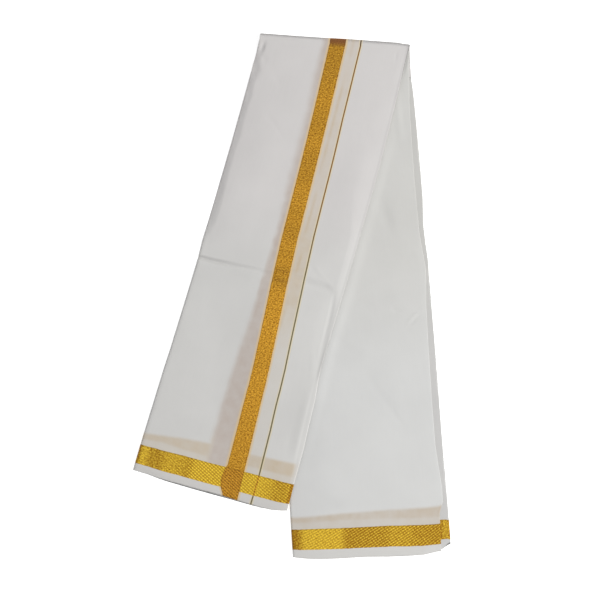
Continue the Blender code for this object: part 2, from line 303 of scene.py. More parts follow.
def floorRelief(across, below):
    return pastTurn(markHeight(floorMarks, across, below), below)


def frontTopAt(spot, across, below):
    drape = smooth(pastRearEdge(spot) / strip["drapeWidth"])
    return stackTop - (stackTop - strip["frontFloorTop"]) * drape + frontRelief(across, below)


def frontBedAt(spot):
    rest = plainTop + strip["bedGap"]
    return rest * (1 - smooth((pastRearEdge(spot) - strip["bedStart"]) / strip["bedWidth"]))


def place(across, along, depth):
    below = belowCrest(along)
    if along < -turnHalf:
        spot = legPoint(rearLeg, across, below)
        return Vector((spot.x, spot.y, depth))
    if along > turnHalf:
        spot = legPoint(frontLeg, across, below)
        return Vector((spot.x, spot.y, frontTopAt(spot, across, below) - depth))
    angle = along / turnHalf * math.pi / 2
    left, right = legEdges(rearLeg, 0.0)
    crest = (right - left).normalized()
    nearRear, nearFront = legPoint(rearLeg, across, turnReach), legPoint(frontLeg, across, turnReach)
    spot = nearRear.lerp(nearFront, (1 + math.sin(angle)) / 2)
    out = turnReach + readTable(strip["turnOut"], across) - depth
    spot += Vector((-crest.y, crest.x)) * out * math.cos(angle)
    return Vector((spot.x, spot.y, stackTop / 2 + (stackTop / 2 - depth) * math.sin(angle)))


# where the woven patterns lie on the strip

pattern = {
    # the gold end band's edges, going down the front leg; it bulges where it crosses the border
    "bandLeft": [(10, 94.1), (74, 95.8), (203, 98.7), (267, 100.4), (331, 104.1), (395, 109.6),
        (435, 112.6), (460, 113.7), (525, 113.9), (568, 113.8), (574, 111.6), (582, 110.2), (591, 110.4),
        (597, 112.4), (604, 116.6), (609, 118.4)],
    "bandRight": [(10, 115.4), (138, 117.9), (203, 119.5), (267, 121.3), (331, 125.1), (395, 130.9),
        (435, 133.9), (460, 135.1), (525, 136.2), (609, 136.3)],
    "line": [(0, 135.5), (60, 136.2), (105, 136.6), (150, 138), (212, 139.6), (260, 141.2), (318, 144.8),
        (435, 154.5), (460, 155.4), (485, 155.5), (515, 156.2), (571, 155.7), (606, 154.1)],
    "lineHalf": 0.85,
    # the border along each leg's end: its middle below the crest, by the place across
    "frontBorder": [(0, 586.9), (20, 585.1), (35, 584.8), (57, 584), (95, 584.5), (113, 584.2),
        (140, 584.3), (172, 585), (200, 587.4)],
    "rearBorder": [(0, 648.4), (20, 646.8), (40, 646), (62, 646.1), (125, 646), (160, 647.3), (190, 648.8),
        (200, 649.6)],
    "sideBorder": [(185, 644.2), (192, 645.3), (200, 649.8)],
    "borderHalf": 12.6,
    # hidden gold shows through the cotton as a veil: its left edge going down the front leg, how
    # softly it begins, and how strong it is
    "veilLeft": [(0, 85), (20, 85), (60, 86), (100, 88.5), (200, 89), (250, 92), (340, 90.5), (380, 91.5),
        (420, 89.5), (470, 87.5), (520, 86.5), (609, 87)],
    "veilSoft": [(0, 6), (60, 12), (200, 12), (250, 7), (340, 5), (380, 9), (420, 9), (470, 8), (609, 10)],
    "veilGap": [(0, 0.36), (120, 0.42), (220, 0.42), (270, 0.62), (350, 0.6), (385, 0.34), (420, 0.22),
        (609, 0.16)],
    "veilPart": [(0, 0.85), (200, 0.88), (270, 0.96), (330, 0.84), (609, 0.85)],
    # painted shade along the front leg's pressed right edge: how much, going down the leg
    "edgeShade": [(0, 0.1), (320, 0.1), (345, 0.05), (420, 0.1), (445, 0.05), (540, 0.06), (609, 0.04)],
    # and the edge of a layer just right of the band
    "innerEdge": [(5, 124.7), (42, 123.9), (97, 125.9), (163, 126), (247, 129.4), (297, 131.5),
        (335, 130.6), (376, 131.6)],
    "frontVeilTop": [(4, 556.7), (46, 550.5), (85, 547.8), (142, 548.4), (194, 547.8)],
    "frontVeilEnd": [(1, 566), (30, 562.5), (56, 564.5), (111, 565), (150, 563.7), (198, 565.5)],
    "frontVeilPart": [(0, 0.66), (130, 0.66), (160, 0.7), (180, 0.77), (195, 0.72), (199.5, 0.15)],
    "rearVeilTop": [(5, 619.2), (61, 615.3), (127, 613.4), (191, 613.2)],
    "rearVeilEnd": [(5, 627), (61, 624), (127, 624.3), (191, 627.5)],
    "rearVeilPart": [(0, 0.86), (64, 0.84), (95, 0.72), (125, 0.74), (155, 0.85), (200, 0.95)],
    "frontVeilLoss": 0.45,   # how much of it is lost where the last hidden layer ends
    "rearVeilLoss": 0.34,
    "marginVeil": 0.14,      # what is left of it past the border
    "veilSplit": 112,        # under the band, where its left part gives way to its right one
    "veilWander": (1.6, 7, 21),  # its left edge's wander: how far, size and seed
    # it stops above the border, and is yellower over the border's hidden turn: place and softness
    "veilStop": (575, 6),
    "yellowTop": (540, 24),
    "yellowRight": (88, 8),
    "yellowStop": (590, 8),
    "edgeVeil": (0.4, 390),  # how strong the layer's edge is, and where it ends
    # how warm the cotton is: from where it fades down each leg, and over how far
    "frontWarm": (180, 160),
    "rearWarm": (240, 240),
    # painted shade along the crest, where the cloth turns away: how much, from how far off it, and over how
    # far
    "crestShade": (0.42, 2.2, 4.6),
    "sideDots": 0.2,
}
# painted shade and sheen on the metal thread, going down the band: dark where it turns over the crest,
# lighter and darker in pressed patches
bandShadeAndSheen = [(-12, 0.95), (-4, 0.5), (1, 0.5), (5, 0.62), (8, 0.78), (12, 0.94), (14, 0.9), (40, 0.9),
    (70, 0.98), (82, 1.06), (92, 1), (110, 0.95), (130, 1), (140, 1.08), (152, 0.96), (188, 0.94),
    (200, 1.06), (222, 1.06), (232, 0.96), (243, 1.04), (254, 0.94), (266, 0.97), (276, 1.08), (287, 1),
    (300, 1.08), (306, 1), (311, 0.86), (317, 0.98), (324, 0.86), (332, 1.05), (340, 1.14), (400, 1.2),
    (436, 1.12), (450, 1.2), (500, 1.17), (550, 1.1), (609, 1.05)]
# for the borders, a shift from their dark to their light gold across each leg; its low values at the left
# and right edges are painted shade where the borders turn under, except the rear's light right end, a
# painted highlight on the edge, and the side's dark start is a painted shadow beside the face's edge
borderShift = {
    "front": [(0, -0.5), (2.5, -0.33), (5, 0.03), (9, 0.1), (12, 0.04), (15, -0.21), (30, -0.23),
        (38, -0.01), (50, -0.01), (66, -0.11), (74, 0.17), (104, 0.14), (137, 0.14), (158, 0.16),
        (170, 0.07), (182, -0.1), (193, -0.1), (195.5, 0.02), (197.5, -0.38), (200, -0.5)],
    "rear": [(0, -0.5), (4, -0.36), (9, -0.31), (12, -0.1), (16, 0.15), (62, 0.09), (68, -0.19),
        (90, -0.18), (118, -0.15), (128, -0.05), (148, -0.06), (156, -0.16), (184, -0.21), (197.4, -0.19),
        (198.4, 0.3), (200, 0.3)],
    "side": [(187, -0.9), (190.6, -0.9), (191.4, -0.14), (198, -0.14), (200, -0.33)],
}
# how far the border's dotted weave shows over its plain grain
borderDots = {
    "front": [(0, 0.1), (33, 0.1), (38, 0.3), (62, 0.35), (68, 1), (137, 0.9), (160, 0.6), (200, 0.8)],
    "rear": [(0, 0.3), (12, 0.35), (14, 0.6), (64, 0.6), (68, 0.8), (200, 0.75)],
}

# painted light and shade: soft lighter and darker places that stand in for gentle swells and hollows;
# across, below, how far each way, and how much
frontLightShadeSpots = [
    (45, 225, 38, 80, 0.045), (45, 85, 45, 60, -0.012), (158, 215, 34, 110, -0.045),
    (180, 488, 32, 76, -0.05), (24, 208, 24, 64, 0.035), (12, 336, 26, 22, -0.025),
    (70, 355, 34, 60, 0.02), (50, 540, 50, 30, -0.015), (62, 225, 26, 120, 0.015),
]
rearLightShadeSpots = [
    (156, 234, 16, 40, -0.03), (146, 339, 18, 16, -0.03), (92, 416, 30, 28, -0.022),
    (132, 478, 26, 34, -0.018), (32, 515, 30, 80, -0.035), (60, 604, 40, 14, -0.03),
    (110, 560, 80, 50, 0.008), (182, 96, 12, 44, 0.015), (128, 60, 60, 60, 0.008),
]
# painted light and shade along lines in the same way: painted shade in the sharper folds, and painted light
# and a painted shadow beside the leg on the rear one
frontLightShadeLines = [
    # painted shade in the fold pressed across the middle
    (5, [(-2, 311.5, -0.09), (12, 312.8, -0.09), (32, 313, -0.09), (50, 314, -0.03), (70, 314.5, -0.03),
        (88, 315, 0)]),
    # painted shade in its faint part past the band, and in the valley beside the right edge
    (8, [(128, 316, -0.01), (150, 318, -0.04), (176, 321, -0.03), (188, 324, 0)]),
    (6, [(193, 325, 0), (194, 345, -0.03), (196, 365, -0.04), (198, 385, -0.04), (199, 415, -0.04),
        (200, 440, 0)]),
    (3, [(198, 380, 0), (198.5, 400, -0.05), (198, 430, -0.08), (199, 444, 0)]),
    # painted shadow along the front leg's pressed edge beside the turn
    (1.7, [(200.3, 4, -0.55), (200.3, 14, -0.85), (200.3, 32, -0.8), (200.3, 46, -0.4), (200.2, 62, -0.15),
        (200, 84, 0)]),
    # painted shade and highlight for its low ridge further down, with a shallow dip before it
    (9, [(189, 452, 0), (189, 480, -0.04), (189.5, 530, -0.06), (190, 548, 0)]),
    (2.6, [(196.8, 448, 0), (196.6, 470, 0.035), (196.6, 530, 0.045), (197, 552, 0)]),
]
rearLightShadeLines = [
    # painted light beside the leg that lies on it, with a little painted shade near its end
    (9, [(160, 130, 0), (131, 221, 0.035), (98, 316, 0.04), (63, 412, 0.045), (46, 464, 0.01),
        (35, 500, -0.01), (13, 572, 0)]),
    # painted shadow just past the front leg's edge by the turn
    (2.2, [(199, 9, -0.1), (195.5, 19, -0.2), (193, 28.5, -0.18), (189.2, 43.7, -0.04), (185, 59, 0)]),
]


# painted light and shade at a place, from the spots and the lines
def lightShadeAt(tints, lines, across, below):
    total = markHeight(lines, across, below)
    for middle, down, wide, long, amount in tints:
        total += amount * smooth(1 - math.hypot((across - middle) / wide, (below - down) / long))
    return total


def patternAt(key, at):
    return readTable(pattern[key], at)


def ramp(value, edge, soft):
    # 0 before an edge, 1 past it, over a soft width
    return smooth((value - edge) / soft + 0.5)


def pressedEdgeShade(across, along, below):
    # the crest of the turn and the front leg's right edge are pressed sharp, and both get painted shade
    much, start, reach = pattern["crestShade"]
    crest = much * (1 - smooth((abs(along) - start) / reach))
    edge = patternAt("edgeShade", below) * smooth((across - 195.5) / 3) if along > 0 else 0.0
    return (1 - crest) * (1 - edge)


def veilAt(across, along, below, face):
    # how strongly hidden gold shows through at a place
    if face not in ("band", "plain"):
        return 0.0
    leg = "front" if along > 0 else "rear"
    top, end = patternAt(leg + "VeilTop", across), patternAt(leg + "VeilEnd", across)
    veil = ramp(below, top + 1, 5) * patternAt(leg + "VeilPart", across)
    veil *= 1 - pattern[leg + "VeilLoss"] * ramp(below, end, 4)
    pastBorder = ramp(below, patternAt(leg + "Border", across), 8)
    veil = veil * (1 - pastBorder) + pattern["marginVeil"] * pastBorder
    if face == "plain" or along <= 0:
        return veil
    split = pattern["veilSplit"]
    wander, size, seed = pattern["veilWander"]
    start = patternAt("veilLeft", below) + wander * swell(0, below, size, seed)
    left = ramp(across, start, patternAt("veilSoft", below)) * (1 - ramp(across, split + 6, 6))
    left *= (1 - ramp(below, *pattern["veilStop"])) * patternAt("veilPart", below)
    line, edge = patternAt("line", below), patternAt("innerEdge", below)
    right = ramp(across, split, 6) * (1 - ramp(across, line, 3)) * patternAt("veilGap", below)
    strength, stop = pattern["edgeVeil"]
    right += strength * (1 - smooth(abs(across - edge) / 1.6)) * (1 - ramp(below, stop, 16))
    return max(veil, left, right)


def veilWarmthAt(across, below):
    # on the front leg it is yellower right of the band, and over the border's hidden turn
    turn = ramp(below, *pattern["yellowTop"]) * (1 - ramp(across, *pattern["yellowRight"]))
    warm = max(ramp(across, pattern["veilSplit"], 6), turn)
    return warm * (1 - ramp(below, *pattern["yellowStop"]))


def weaveNumbers(across, along, face):
    # what the cloth's material reads at a place; face is band, plain, side or inner
    below = belowCrest(along)
    front = along > 0
    leg = "front" if front else "rear"
    tints, lines = (frontLightShadeSpots, frontLightShadeLines) if front else (rearLightShadeSpots, rearLightShadeLines)
    border = "side" if face == "side" else leg
    warmStart, warmReach = pattern[leg + "Warm"]
    down = math.copysign(below, along)
    left, right = patternAt("bandLeft", down), patternAt("bandRight", down)
    banded = face == "band"
    lightShade = 1 + lightShadeAt(tints, lines, across, below)
    return {
        "insideBand": min(across - left, right - across) if banded else -90,
        "fromLine": across - patternAt("line", down) if banded else 900,
        "fromBorder": below - patternAt(border + "Border", across),
        "warmth": 1 - smooth((below - warmStart) / warmReach),
        "veil": veilAt(across, along, below, face),
        "veilWarmth": veilWarmthAt(across, below) if front else 1.0,
        # painted light and shade: the spots and lines, and the painted shade on the crest and pressed edge
        "paintedLightShade": lightShade * pressedEdgeShade(across, along, below),
        "bandShading": readTable(bandShadeAndSheen, down),
        "borderShift": readTable(borderShift[border], across),
        "dots": readTable(borderDots[leg], across) if face != "side" else pattern["sideDots"],
    }


# building the cloth

def newGrid(across, along, size=1.0):
    mesh = bmesh.new()
    bmesh.ops.create_grid(mesh, x_segments=across, y_segments=along, size=size / 2)
    return mesh


def newPiece(name, mesh):
    data = bpy.data.meshes.new(name)
    mesh.to_mesh(data)
    mesh.free()
    data.shade_smooth()
    piece = bpy.data.objects.new(name, data)
    scene.collection.objects.link(piece)
    return piece


def weaveOn(mesh, spots, face):
    # spots gives each vertex its place across and along
    clothPlace = mesh.verts.layers.float_vector.new("clothPlace")
    layers = {key: mesh.verts.layers.float.new(key) for key in weaveNumbers(0, 100, face)}
    for vert in mesh.verts:
        across, along = spots[vert.index]
        vert[clothPlace] = Vector((across, along, 0))
        for key, value in weaveNumbers(across, along, face).items():
            vert[layers[key]] = value


def laySheet(name, columns, rows, shape, face, flip):
    # a sheet of cloth: a grid laid on its outer face, then given its wall
    mesh = newGrid(len(columns) - 1, len(rows) - 1)
    mesh.verts.ensure_lookup_table()
    spots = {}
    for vert in mesh.verts:
        column = columns[round((vert.co.x + 0.5) * (len(columns) - 1))]
        row = rows[round((vert.co.y + 0.5) * (len(rows) - 1))]
        vert.co, spots[vert.index] = shape(column, row)
        vert.co *= mm
    weaveOn(mesh, spots, face)
    if flip:
        bmesh.ops.reverse_faces(mesh, faces=mesh.faces)
    piece = newPiece(name, mesh)
    wall = piece.modifiers.new("wall", "SOLIDIFY")
    wall.thickness = strip["wall"] * mm
    wall.offset = -1
    wall.use_even_offset = True
    return piece


def layStack(name, columns, rows, levels, shape, face):
    # a closed block of layers: a grid raised into a box, its sides cut into levels, then shaped
    mesh = newGrid(len(columns) - 1, len(rows) - 1)
    raised = bmesh.ops.extrude_face_region(mesh, geom=mesh.faces[:])["geom"]
    raised = [part for part in raised if isinstance(part, bmesh.types.BMVert)]
    bmesh.ops.translate(mesh, verts=raised, vec=(0, 0, 1))
    upright = [edge for edge in mesh.edges if abs(edge.verts[0].co.z - edge.verts[1].co.z) > 0.5]
    bmesh.ops.subdivide_edges(mesh, edges=upright, cuts=levels - 1)
    mesh.verts.index_update()
    spots = {}
    for vert in mesh.verts:
        column = round((vert.co.x + 0.5) * (len(columns) - 1))
        row = round((vert.co.y + 0.5) * (len(rows) - 1))
        side = (column == len(columns) - 1) - (column == 0)
        end = (row == len(rows) - 1) - (row == 0)
        level = round(vert.co.z * levels)
        vert.co, spots[vert.index] = shape(columns[column], rows[row], level, side, end)
        vert.co *= mm
    weaveOn(mesh, spots, face)
    bmesh.ops.recalc_face_normals(mesh, faces=mesh.faces)
    return newPiece(name, mesh)


def spread(start, stop, step):
    # even places from start to stop, at most a step apart, without the last
    count = max(1, math.ceil(abs(stop - start) / step))
    return [start + (stop - start) * index / count for index in range(count)]


def rollColumns(middle, leftReach, rightReach):
    # a face's columns, each with how far it is rolled down: left edge, flat middle, right edge
    angles = [step * math.pi / 16 for step in range(9)]  # a quarter turn
    turns = [(1 - math.cos(angle), 1 - math.sin(angle)) for angle in angles]
    left = [(leftReach * away, rolled) for away, rolled in turns]
    right = [(fullWidth - rightReach * away, -rolled) for away, rolled in reversed(turns)]
    return left + [(across, 0.0) for across in middle] + right


# band cloth: under the rear leg, over the turn, and the front leg's face with the gold end band
bandCloth = {
    "rollWidth": 2.2,        # the folded left edge, and how much of the leg's height it rolls down
    "rollShare": 0.93,
    # how far that edge is drawn in, over a width, and the right one pushed out, from a place
    "leftInWidth": 24,
    "rightOutStart": 184,
    "leftIn": [(0, 0.9), (150, 0.9), (215, 0.4), (240, 0.2), (290, -0.4), (312, 0.7), (440, 0.7),
        (470, 0.2), (565, 0.2), (609, 0.7)],
    "rightOut": [(0, 0), (425, 0), (445, 1.6), (465, 3.6), (530, 3.6), (565, 1.6), (609, 0)],
    "lipWidth": 1,           # the right edge's lip in the columns, and its real reach along the leg
    "lipShare": 0.55,
    "lipReach": [(0, 0.3), (12, 1.3), (46, 1.3), (84, 0.3), (300, 0.35), (335, 0.8), (400, 0.6),
        (450, 1.6), (609, 1.2)],
    "rollRamp": 25,
    "backSet": 1.0,          # the floor side lies a little inside the rear leg's right edge
    "backRamp": 36,
    "backEndSet": 2.0,
    "endRamp": 24,
    # the face is drawn back from the layers under it at the front leg's end
    "endSet": [(0, 0.2), (20, 0.7), (60, 2.2), (118, 2.4), (150, 1.5), (186, 0.8), (200, 0.4)],
}
bandColumns = spread(3, 14, 1.3) + spread(14, 176, 3.4) + spread(176, 198.6, 0.95)
bandColumns = rollColumns(bandColumns, bandCloth["rollWidth"], bandCloth["lipWidth"])
bandRows = spread(-(rearEnd - bandCloth["backEndSet"]), -330, 9) + spread(-330, -300, 1.5)
bandRows += spread(-300, -turnHalf, 9) + spread(-turnHalf, turnHalf, 0.9)
bandRows += spread(turnHalf, 296, 3.0) + spread(296, 336, 0.9) + spread(336, 542, 3.0)
bandRows += spread(542, frontEnd, 1.4) + [frontEnd]


def bandShape(column, along):
    across, roll = column
    below = belowCrest(along)
    if along <= turnHalf:
        across -= across / fullWidth * bandCloth["backSet"] * smooth(-along / bandCloth["backRamp"])
        lift = floorRelief(across, below) if along < 0 else 0.0
        return place(across, along, lift), (across, along)
    if across >= fullWidth - bandCloth["lipWidth"]:
        across = fullWidth - readTable(bandCloth["lipReach"], below) * (fullWidth - across)
    grown = smooth((along - turnHalf) / bandCloth["rollRamp"])
    pushStart = bandCloth["rightOutStart"]
    drawnIn = grown * readTable(bandCloth["leftIn"], below)
    across += drawnIn * max(0.0, 1 - across / bandCloth["leftInWidth"])
    pushed = smooth((across - pushStart) / (fullWidth - pushStart))
    across += readTable(bandCloth["rightOut"], below) * pushed
    nearEnd = smooth((along - frontEnd) / bandCloth["endRamp"] + 1)
    along -= readTable(bandCloth["endSet"], across) * nearEnd
    spot = place(across, along, 0.0)
    share = bandCloth["rollShare"] if roll > 0 else bandCloth["lipShare"]
    spot.z -= grown * abs(roll) * share * (spot.z - frontBedAt(spot.xy))
    return spot, (across, along)


bandPiece = laySheet("band_cloth", bandColumns, bandRows, bandShape, "band", flip=True)
print("band cloth:", len(bandPiece.data.polygons), "faces")


# plain cloth: the rear leg's white face
plainCloth = {
    "rollWidth": 3,
    "rollRamp": 25,
    "lipWidth": 0.5,
    "lipDepth": 0.35,        # the right edge turns down to the fold under it
    # how far the inner fold stands out beside it, by the share of the leg's length
    "reveal": [(0, 1), (0.12, 6.5), (0.27, 7.6), (0.38, 7.4), (0.45, 3), (0.52, 6.6), (0.6, 7.6),
        (0.8, 8.4), (0.88, 4.6), (0.91, 5), (0.93, 10.5), (1, 12.5)],
}
plainColumns = spread(4, 148, 4.2) + spread(148, 190, 2) + spread(190, 199, 1.2)
plainColumns = rollColumns(plainColumns, plainCloth["rollWidth"], plainCloth["lipWidth"])
plainRows = spread(-rearEnd, -606, 1.4) + spread(-606, -384, 4.5) + spread(-384, -352, 1.6)
plainRows += spread(-352, -turnHalf, 6) + [-turnHalf]


def plainShape(column, along):
    across, roll = column
    below = belowCrest(along)
    reveal = readTable(plainCloth["reveal"], below / rearLeg["length"])
    across = across * (fullWidth - reveal) / fullWidth
    spot = place(across, along, plainTop + rearRelief(across, below))
    grown = smooth((-along - turnHalf) / plainCloth["rollRamp"])
    spot.z -= grown * (roll * (spot.z - skin) if roll > 0 else -roll * plainCloth["lipDepth"])
    return spot, (across, along)


plainPiece = laySheet("plain_cloth", plainColumns, plainRows, plainShape, "plain", flip=False)
print("plain cloth:", len(plainPiece.data.polygons), "faces")


# inner layers: the hidden cloth between the faces, whose edges show all round
stack = {
    "layers": 8,
    "levelsEach": 4,         # mesh levels for a layer; the groove between two is the first
    "groove": 0.7,
    "roundShare": 0.25,      # how much of it the levels beside it have, which rounds the layer
    "leftSet": 1.6,          # set back behind the rolled edge
    "rightSet": 1.3,
    "openWander": 0.5,       # the open right edges lie unevenly, the folded left ones less so
    "foldWander": 0.2,
    "endWander": 0.25,
    "endGroove": 0.22,
    "frontSlope": [(0, 0.3), (20, 0.8), (60, 2.3), (118, 2.5), (150, 1.6), (186, 0.9), (200, 0.5)],
    "sideDepth": 22.3,       # they give way to the inner fold beside the rear leg
    "sideRamp": 36,
    "rearEndSet": 1.4,
}
edgeColumns = [0.0, 0.5, 1.4, 3.2, 6.5]
innerColumns = [stack["leftSet"] + inset for inset in edgeColumns] + spread(20, 180, 12)
innerColumns += [fullWidth - stack["rightSet"] - inset for inset in reversed(edgeColumns)]
innerRows = spread(-(rearEnd - stack["rearEndSet"]), -turnHalf, 5)
innerRows += spread(-turnHalf, turnHalf, 1.2) + spread(turnHalf, 296, 4)
innerRows += spread(296, 336, 1.6) + spread(336, frontEnd - 6, 4)
innerRows += [frontEnd - before for before in (4, 2, 0.8, 0)]
innerLevels = stack["layers"] * stack["levelsEach"]


def layerWander(level, levelsEach, along, side):
    # how far one layer's edge lies in or out, from -1 to 1; side keeps two edges unlike
    layer = level // levelsEach
    return noise.noise(Vector((layer * 5.3, along / 60, side * 11.0)))


def stackDepth(across, along):
    # how deep the hidden layers' far side lies, from the strip's outer face
    below = belowCrest(along)
    if along <= -turnHalf:
        return plainTop + rearRelief(across, below) - skin
    if along <= turnHalf:
        return plainTop - skin
    spot = legPoint(frontLeg, across, below)
    return frontTopAt(spot, across, below) - frontBedAt(spot)


def innerShape(across, along, level, side, end):
    each, deep = stack["levelsEach"], stack["groove"]
    groove = deep if level % each == 0 else 0.0
    if 0 < level < innerLevels and level % each != each // 2:
        groove = max(groove, stack["roundShare"] * deep)
    giveWay = stack["sideDepth"] * smooth((-along - turnHalf) / stack["sideRamp"])
    low, high = stack["leftSet"], fullWidth - stack["rightSet"]
    across = low + (across - low) * (high - giveWay - low) / (high - low)
    if side:
        wander = stack["openWander"] if side > 0 else stack["foldWander"]
        across -= side * (groove + wander * (1 + layerWander(level, each, along, side)))
    if end:
        setBack = groove / deep * stack["endGroove"]
        setBack += stack["endWander"] * (1 + layerWander(level, each, across * 1.4, end * 3))
        if end > 0:
            setBack += readTable(stack["frontSlope"], across) * (1 - level / innerLevels)
        along -= end * setBack
    top = skin + (floorRelief(across, belowCrest(along)) if along < 0 else 0.0)
    depth = top + level / innerLevels * (stackDepth(across, along) - top)
    return place(across, along, depth), (across, along)


innerPiece = layStack("inner_layers_cloth", innerColumns, innerRows, innerLevels, innerShape, "inner")
print("inner layers:", len(innerPiece.data.polygons), "faces")


# side fold: the inner fold that stands out beside the rear leg's face
sideFold = {
    "reach": 22,             # how far in under the face it begins
    "start": 46,             # below the crest
    "low": 0.65,
    "high": 3.35,
    "folds": 3,
    "levelsEach": 4,
    "groove": 0.5,
    "wander": 0.35,
    "edgeDrop": 0.15,        # its edge comes down a little
    "swell": (0.12, 3),      # height and seed
    "endSet": [(178, 0.5), (190, 1.5), (200, 4)],
    # how far it stands out past the layers under it, going down the leg
    "bulge": [(46, -1), (62, 0.3), (110, 1.5), (165, 2), (205, 1.6), (240, -0.6), (265, -0.1), (290, 1.2),
        (315, 0.6), (365, 1), (415, 1.5), (470, 1.7), (520, 1.6), (600, 1.3), (670, 0.5)],
}
sideColumns = [0.0, 0.3, 0.6, 0.8, 0.9, 0.96, 1.0]
sideRows = spread(-rearEnd, -620, 3) + spread(-620, -sideFold["start"], 5) + [-sideFold["start"]]
sideLevels = sideFold["folds"] * sideFold["levelsEach"]


def sideShape(part, along, level, side, end):
    each, below = sideFold["levelsEach"], belowCrest(along)
    groove = sideFold["groove"] if level % each == 0 else 0.0
    across = fullWidth - sideFold["reach"] * (1 - part) + part * readTable(sideFold["bulge"], below)
    if side:
        across -= side * (groove + sideFold["wander"] * (1 + layerWander(level, each, along, 5)))
    if end < 0:
        along += groove + readTable(sideFold["endSet"], across)
    height, seed = sideFold["swell"]
    top = sideFold["high"] - sideFold["edgeDrop"] * smooth((part - 0.7) / 0.3)
    top += height * swell(across * 3, along, 40, seed) - droop(rearLeg, belowCrest(along))
    depth = sideFold["low"] + level / sideLevels * (top - sideFold["low"])
    return place(across, along, depth), (across, along)


sidePiece = layStack("side_fold", sideColumns, sideRows, sideLevels, sideShape, "side")
print("side fold:", len(sidePiece.data.polygons), "faces")


# materials

def hexColor(code):
    # an sRGB hex value as the linear colour that the shader takes
    values = [int(code[start:start + 2], 16) / 255 for start in (1, 3, 5)]
    return (*[v / 12.92 if v <= 0.04045 else ((v + 0.055) / 1.055) ** 2.4 for v in values], 1.0)


def addNode(tree, kind, feeds, **settings):
    # a node with its settings, and each input set to a value or linked to an output
    node = tree.nodes.new(kind)
    for key, value in settings.items():
        setattr(node, key, value)
    for key, value in feeds.items():
        if isinstance(value, bpy.types.NodeSocket):
            tree.links.new(value, node.inputs[key])
        else:
            node.inputs[key].default_value = value
    return node


def mathOf(tree, operation, *values, **more):
    return addNode(tree, "ShaderNodeMath", dict(enumerate(values)), operation=operation, **more).outputs[0]


def mixValue(tree, part, first, second):
    return addNode(tree, "ShaderNodeMix", {0: part, 2: first, 3: second}).outputs[0]


def mixColor(tree, part, under, over, kind="MIX"):
    feeds = {0: part, 6: under, 7: over}
    return addNode(tree, "ShaderNodeMix", feeds, data_type="RGBA", blend_type=kind).outputs[2]


def mapped(tree, value, start, stop, low=0.0, high=1.0, **settings):
    # a value brought from start..stop to low..high, and kept there
    feeds = {"Value": value, "From Min": start, "From Max": stop, "To Min": low, "To Max": high}
    return addNode(tree, "ShaderNodeMapRange", feeds, **settings).outputs[0]


def placed(tree, at, scale=(1.0, 1.0, 1.0), turn=0.0):
    # a place stretched by scale, or turned by degrees
    feeds = {"Vector": at, "Scale": scale, "Rotation": (0.0, 0.0, math.radians(turn))}
    return addNode(tree, "ShaderNodeMapping", feeds).outputs[0]


def noiseOf(tree, at, scale, detail, roughness=0.5):
    feeds = {"Vector": at, "Scale": scale, "Detail": detail, "Roughness": roughness}
    return addNode(tree, "ShaderNodeTexNoise", feeds).outputs["Fac"]


def waveOf(tree, at, period, distortion=0.0, **more):
    # waves a real period apart, in millimetres
    feeds = {"Vector": at, "Scale": math.pi / 10 / period, "Distortion": distortion}
    feeds.update({"Detail": 1.0, "Detail Scale": 4.0})
    return addNode(tree, "ShaderNodeTexWave", feeds, **more).outputs["Fac"]


def newMaterial(name):
    material = bpy.data.materials.new(name)
    material.use_nodes = True
    return material, material.node_tree, material.node_tree.nodes["Principled BSDF"]


# Bleached mull cotton, plain woven and pressed: matt, a little uneven, warmer where it was handled.
# Zari, gold-coloured metal thread woven in tight: grainy, with the glint of many small faces.
clothColors = {
    "white": "#d5d4d0",
    "warmWhite": "#d5d2cf",
    "veil": "#c0b4aa",       # gold in a hidden layer, seen through the cotton
    "warmVeil": "#c6b498",
    "edgeCord": "#dfc391",   # the pale yarn along the gold band's edges
    "lineCord": "#e0d2ac",
    "bandDark": "#915e10",
    "bandLight": "#e6b03a",
    "bandFoldShade": "#8d5c32",   # painted shade where it turns over the crest and in the pressed folds
    "borderDark": "#a06e11",
    "borderLight": "#ffdc48",
    "crossingDark": "#784709",
    "crossingLight": "#efb23a",
    "lineGold": "#8f6626",
    "lineWorn": "#79704f",   # the thin line has lost its gold lower down
    "lineFoldShade": "#5c4432",   # and painted shade along the crest, like the band
}
# lengths in millimetres; the grain, rows and breaks are coarser than the real thread of 0.3 mm
zari = {
    "metal": 0.4,
    "gapRoughness": 0.85,
    "floatRoughness": 0.6,
    "floatHeight": 0.3,
    "grainScale": (0.42, 0.6, 1),
    "rowTurn": 62,           # the border's slanting rows, and what breaks them into dots
    "rowPeriod": 2.9,
    "breakTurn": -34,
    "breakPeriod": 3.7,
    "bandCord": 0.75,        # how much the pale cords cover
    "lineCord": 0.6,
    "thinning": 0.22,        # how much darker it is along its thin edges
}
cotton = {
    "roughness": 0.9,
    "specular": 0.2,
    "sheen": 0.06,
    "sheenRoughness": 0.5,
    "threadPeriod": 0.5,     # a thread each way, coarser than the real 0.3
    "threadHeight": 0.03,
    "slubScale": (1.6, 0.02, 1),
    "cloudScale": 0.02,
    "blotchScale": 0.09,
}


